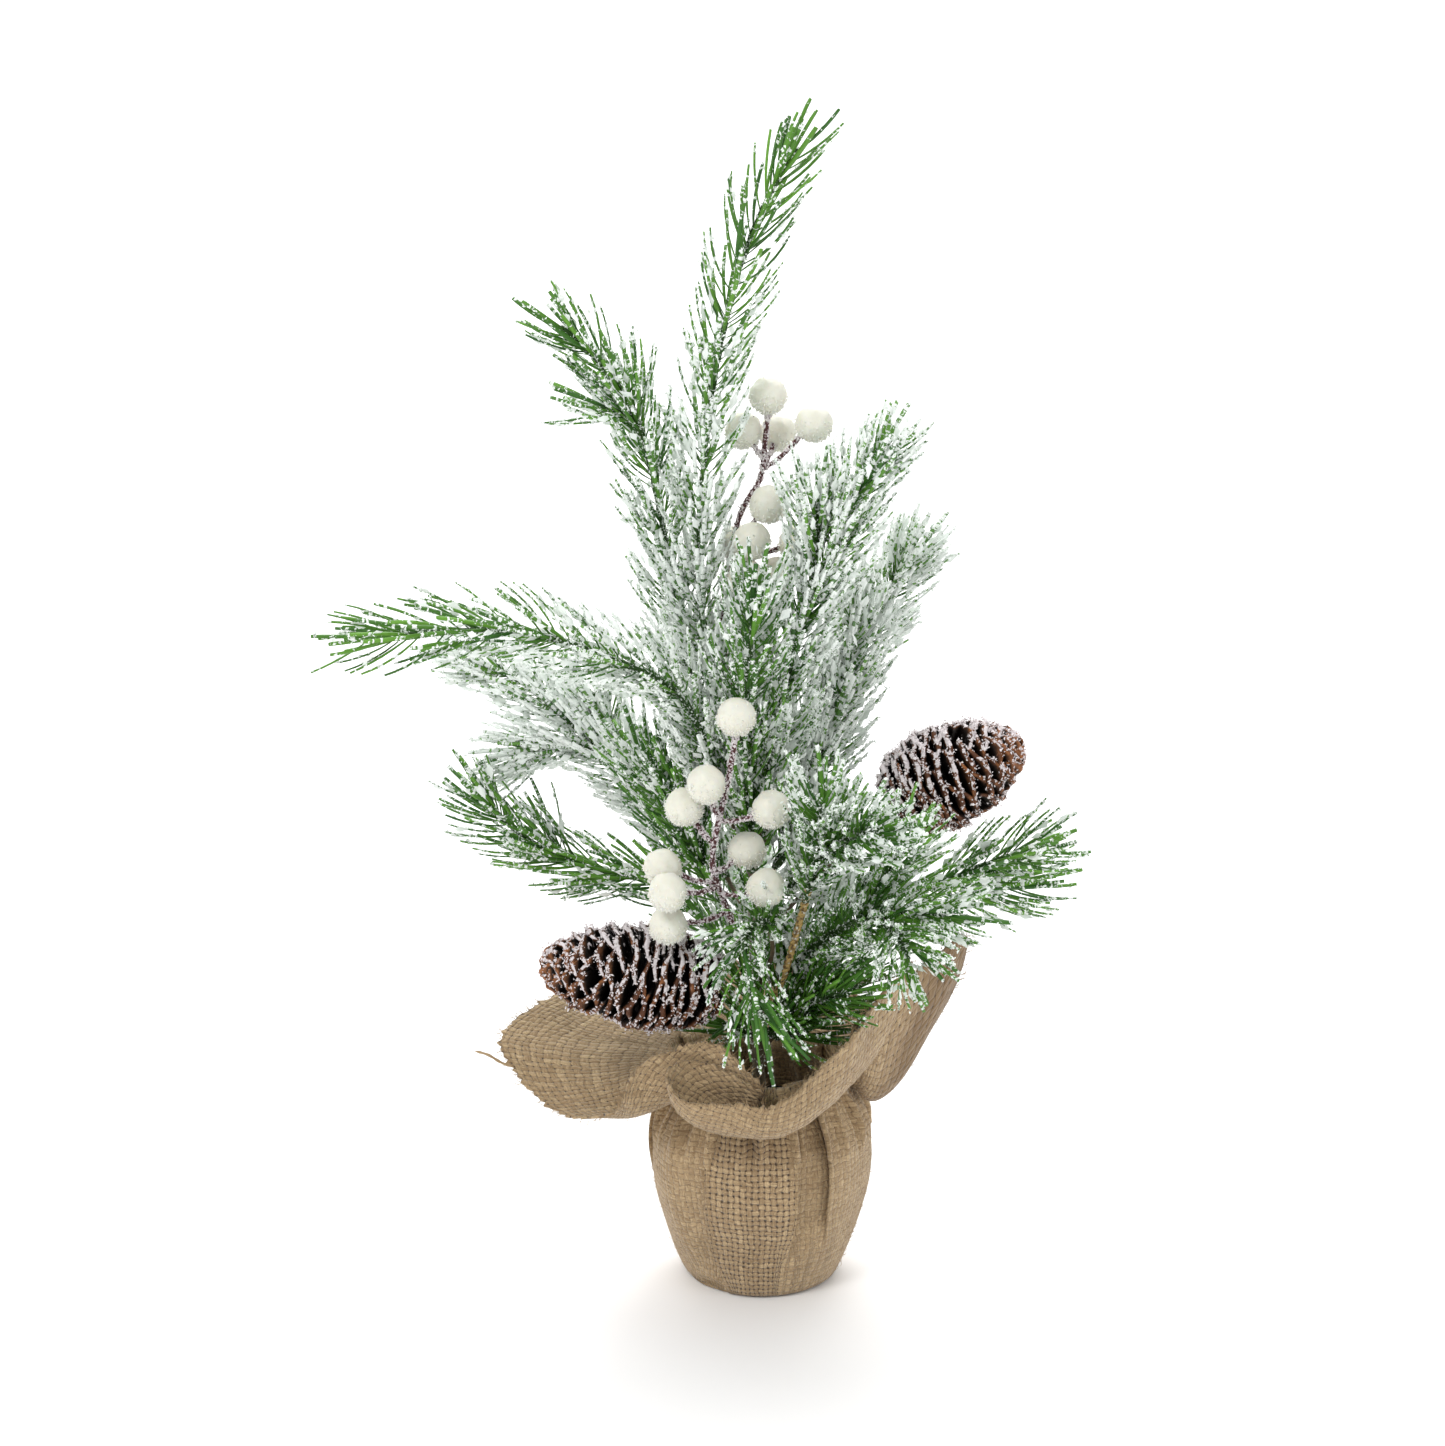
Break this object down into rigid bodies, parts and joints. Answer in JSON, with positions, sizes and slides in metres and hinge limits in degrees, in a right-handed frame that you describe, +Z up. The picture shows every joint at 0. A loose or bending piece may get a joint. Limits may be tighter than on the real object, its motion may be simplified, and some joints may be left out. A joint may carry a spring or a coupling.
{
  "type": "artificial tabletop tree",
  "caption": "Small frosted artificial pine tree with berries and cones, in a weighted pot wrapped in burlap, for a table or shelf.",
  "frame": {"origin": "centre of the wrap's flat underside, on the table", "axes": "+Z up, -Y the front, +X to the viewer's right when facing the front"},
  "size_m": [0.2908, 0.2151, 0.4568],
  "materials": {
    "needles": "satin",
    "branch_wire": "matte",
    "trunk": "satin",
    "cone": "matte",
    "berry": "satin",
    "berry_stem": "matte",
    "burlap": "matte",
    "tie": "matte",
    "pot": "satin",
    "weight": "matte"
  },
  "bodies": {
    "base": {"pot": "pot", "weight": "weight", "burlap_wrap": "burlap", "neck_tie": "tie", "trunk": "trunk"},
    "leader": {"leader_wire": "branch_wire", "leader_sprig": "needles"},
    "upper_left": {"upper_left_wire": "branch_wire", "upper_left_sprig": "needles"},
    "left_long": {"left_long_wire": "branch_wire", "left_long_sprig": "needles"},
    "left_mid": {"left_mid_wire": "branch_wire", "left_mid_sprig": "needles"},
    "left_low": {"left_low_wire": "branch_wire", "left_low_sprig": "needles"},
    "left_inner": {"left_inner_wire": "branch_wire", "left_inner_sprig": "needles"},
    "right_upper": {"right_upper_wire": "branch_wire", "right_upper_sprig": "needles"},
    "right_back": {"right_back_wire": "branch_wire", "right_back_sprig": "needles"},
    "right_mid": {"right_mid_wire": "branch_wire", "right_mid_sprig": "needles"},
    "right_far": {"right_far_wire": "branch_wire", "right_far_sprig": "needles"},
    "right_low": {"right_low_wire": "branch_wire", "right_low_sprig": "needles"},
    "front_right": {"front_right_wire": "branch_wire", "front_right_sprig": "needles"},
    "front_low": {"front_low_wire": "branch_wire", "front_low_sprig": "needles"},
    "front_inner": {"front_inner_wire": "branch_wire", "front_inner_sprig": "needles"},
    "centre_mid": {"centre_mid_wire": "branch_wire", "centre_mid_sprig": "needles"},
    "back_upper": {"back_upper_wire": "branch_wire", "back_upper_sprig": "needles"},
    "back_low": {"back_low_wire": "branch_wire", "back_low_sprig": "needles"},
    "cone_left": {"cone_left_wire": "branch_wire", "cone_left": "cone"},
    "cone_right": {"cone_right_wire": "branch_wire", "cone_right": "cone"},
    "berry_stem_front": {"berry_stem_front": "berry_stem", "berry_front_1": "berry", "berry_front_2": "berry", "berry_front_3": "berry", "berry_front_4": "berry", "berry_front_5": "berry", "berry_front_6": "berry", "berry_front_7": "berry", "berry_front_8": "berry", "berry_front_9": "berry"},
    "berry_stem_back": {"berry_stem_back": "berry_stem", "berry_back_1": "berry", "berry_back_2": "berry", "berry_back_3": "berry", "berry_back_4": "berry", "berry_back_5": "berry", "berry_back_6": "berry"}
  },
  "joints": [
    {"name": "leader_bend", "type": "hinge", "parent": "base", "child": "leader", "pos_m": [-0.005, 0, 0.193], "axis": [0, 1, 0], "range_deg": [-5, 3]},
    {"name": "upper_left_bend", "type": "hinge", "parent": "base", "child": "upper_left", "pos_m": [-0.0086, 0.0034, 0.182], "axis": [-0.0519, 0.9987, 0], "range_deg": [-10, 10]},
    {"name": "left_long_bend", "type": "hinge", "parent": "base", "child": "left_long", "pos_m": [-0.0086, -0.0032, 0.174], "axis": [-0.295, 0.9555, 0], "range_deg": [-10, 10]},
    {"name": "left_mid_bend", "type": "hinge", "parent": "base", "child": "left_mid", "pos_m": [-0.008, 0.0034, 0.15], "axis": [0.4676, 0.8839, 0], "range_deg": [-10, 10]},
    {"name": "left_low_bend", "type": "hinge", "parent": "base", "child": "left_low", "pos_m": [-0.007, 0.0042, 0.127], "axis": [0.3622, 0.9321, 0], "range_deg": [-10, 10]},
    {"name": "left_inner_bend", "type": "hinge", "parent": "base", "child": "left_inner", "pos_m": [-0.008, -0.0024, 0.142], "axis": [0.2577, 0.9662, 0], "range_deg": [-10, 10]},
    {"name": "right_upper_bend", "type": "hinge", "parent": "base", "child": "right_upper", "pos_m": [-0.0016, -0.0034, 0.176], "axis": [-0.1004, -0.995, 0], "range_deg": [-10, 10]},
    {"name": "right_back_bend", "type": "hinge", "parent": "base", "child": "right_back", "pos_m": [-0.0006, 0.0036, 0.167], "axis": [0.577, -0.8167, 0], "range_deg": [-10, 10]},
    {"name": "right_mid_bend", "type": "hinge", "parent": "base", "child": "right_mid", "pos_m": [0.0004, 0.0036, 0.152], "axis": [0.5602, -0.8283, 0], "range_deg": [-5, 10]},
    {"name": "right_far_bend", "type": "hinge", "parent": "base", "child": "right_far", "pos_m": [0.001, 0.0036, 0.124], "axis": [0.0321, -0.9995, 0], "range_deg": [-10, 10]},
    {"name": "right_low_bend", "type": "hinge", "parent": "base", "child": "right_low", "pos_m": [0.0032, -0.0015, 0.118], "axis": [-0.7054, -0.7088, 0], "range_deg": [-10, 10]},
    {"name": "front_right_bend", "type": "hinge", "parent": "base", "child": "front_right", "pos_m": [0.0006, -0.0041, 0.106], "axis": [-0.9089, -0.4169, 0], "range_deg": [-10, 6]},
    {"name": "front_low_bend", "type": "hinge", "parent": "base", "child": "front_low", "pos_m": [-0.0006, -0.0044, 0.12], "axis": [-0.9898, -0.1425, 0], "range_deg": [-10, 10]},
    {"name": "front_inner_bend", "type": "hinge", "parent": "base", "child": "front_inner", "pos_m": [0.002, -0.003, 0.094], "axis": [-0.7486, -0.663, 0], "range_deg": [-10, 10]},
    {"name": "centre_mid_bend", "type": "hinge", "parent": "base", "child": "centre_mid", "pos_m": [-0.0036, -0.0043, 0.154], "axis": [-0.9997, -0.0243, 0], "range_deg": [-6, 4]},
    {"name": "back_upper_bend", "type": "hinge", "parent": "base", "child": "back_upper", "pos_m": [-0.0036, 0.0042, 0.16], "axis": [0.9995, 0.0306, 0], "range_deg": [-10, 10]},
    {"name": "back_low_bend", "type": "hinge", "parent": "base", "child": "back_low", "pos_m": [-0.0028, 0.0042, 0.108], "axis": [0.9971, 0.0756, 0], "range_deg": [-10, 10]},
    {"name": "cone_left_bend", "type": "hinge", "parent": "base", "child": "cone_left", "pos_m": [-0.0058, -0.0026, 0.11], "axis": [-0.9372, 0.3489, 0], "range_deg": [-10, 10]},
    {"name": "cone_right_bend", "type": "hinge", "parent": "base", "child": "cone_right", "pos_m": [0.0012, -0.0006, 0.138], "axis": [0.0128, -0.9999, 0], "range_deg": [-10, 10]},
    {"name": "berry_stem_front_bend", "type": "hinge", "parent": "base", "child": "berry_stem_front", "pos_m": [-0.0024, -0.005, 0.1], "axis": [-0.9819, 0.1894, 0], "range_deg": [-6, 4]},
    {"name": "berry_stem_back_bend", "type": "hinge", "parent": "base", "child": "berry_stem_back", "pos_m": [-0.002, 0.0034, 0.182], "axis": [0.9487, -0.3162, 0], "range_deg": [-10, 1]}
  ]
}
